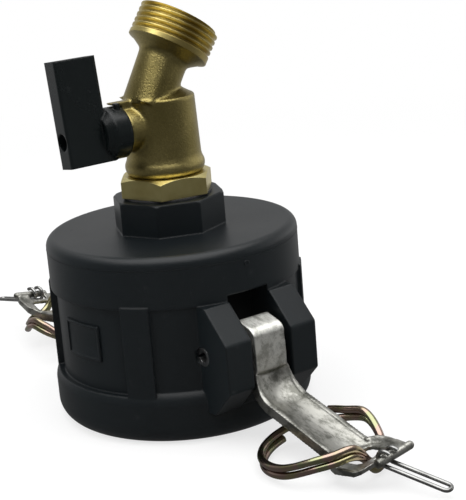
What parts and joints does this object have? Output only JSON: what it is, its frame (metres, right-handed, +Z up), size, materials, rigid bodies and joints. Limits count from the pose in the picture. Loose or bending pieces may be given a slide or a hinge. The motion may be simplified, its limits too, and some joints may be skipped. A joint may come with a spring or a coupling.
{
  "type": "cam lock hose tap adapter",
  "caption": "Moulded cam lock coupler with hinged arms, pull rings and hairpin clips, and a small brass ball tap with an angled hose outlet screwed into its top.",
  "frame": {"origin": "centre of the socket's open end, on the face the coupler stands on", "axes": "+Z up along the socket's axis towards the tap; +X along the near cam arm; the tap's stem points to -Y and its outlet leans towards +Y"},
  "size_m": [0.241, 0.0846, 0.1326],
  "materials": {
    "body_plastic": "satin glass-filled moulding",
    "gasket_rubber": "smooth black rubber",
    "pin_steel": "dark spring steel",
    "arm_steel": "tumbled stainless with lengthwise marks",
    "ring_zinc": "yellow passivated zinc on spring wire",
    "clip_steel": "bright drawn wire",
    "tail_brass": "machined brass",
    "seal_paste": "thin black sealing washer",
    "cast_brass": "blasted cast brass with machined thread",
    "seat_plastic": "white fluoroplastic",
    "ball_chrome": "plated ball",
    "stem_brass": "turned brass",
    "oring_rubber": "black rubber",
    "handle_plastic": "moulded black plastic, slight gloss",
    "screw_steel": "zinc plated"
  },
  "bodies": {
    "coupler": {"coupler_body": "body_plastic", "mouth_gasket": "gasket_rubber", "near_arm_pin": "pin_steel", "far_arm_pin": "pin_steel", "valve_tail": "tail_brass", "tail_seal": "seal_paste", "valve_body": "cast_brass", "inlet_seat": "seat_plastic", "outlet_seat": "seat_plastic"},
    "near_arm": {"near_cam_arm": "arm_steel"},
    "far_arm": {"far_cam_arm": "arm_steel"},
    "near_ring": {"near_pull_ring": "ring_zinc"},
    "far_ring": {"far_pull_ring": "ring_zinc"},
    "near_hairpin": {"near_clip": "clip_steel"},
    "far_hairpin": {"far_clip": "clip_steel"},
    "tap_handle": {"handle": "handle_plastic", "handle_screw": "screw_steel", "stem": "stem_brass", "ball": "ball_chrome", "inner_stem_oring": "oring_rubber", "outer_stem_oring": "oring_rubber", "stem_washer": "seat_plastic"}
  },
  "joints": [
    {"name": "near_arm_hinge", "type": "hinge", "parent": "coupler", "child": "near_arm", "pos_m": [0.0383, 0, 0.028], "axis": [0, -1, 0], "range_deg": [0, 106]},
    {"name": "far_arm_hinge", "type": "hinge", "parent": "coupler", "child": "far_arm", "pos_m": [-0.0383, 0, 0.028], "axis": [0, 1, 0], "range_deg": [0, 100.5]},
    {"name": "near_ring_hinge", "type": "hinge", "parent": "near_arm", "child": "near_ring", "pos_m": [0.0935, -0.0064, 0.0064], "axis": [-1, 0, 0], "range_deg": [0, 20]},
    {"name": "far_ring_hinge", "type": "hinge", "parent": "far_arm", "child": "far_ring", "pos_m": [-0.09532, 0.0064, 0.01179], "axis": [0.9954, 0, -0.0958], "range_deg": [0, 20]},
    {"name": "near_clip_hinge", "type": "hinge", "parent": "near_arm", "child": "near_hairpin", "pos_m": [0.101, 0.00119, 0.00879], "axis": [0, -0.9877, -0.1564], "range_deg": [-50, 100]},
    {"name": "far_clip_hinge", "type": "hinge", "parent": "far_arm", "child": "far_hairpin", "pos_m": [-0.10255, -0.00119, 0.01489], "axis": [-0.015, 0.9877, -0.1557], "range_deg": [-50, 100]},
    {"name": "quarter_turn", "type": "hinge", "parent": "coupler", "child": "tap_handle", "pos_m": [0, -0.029, 0.0935], "axis": [0, 1, 0], "range_deg": [0, 90]}
  ]
}
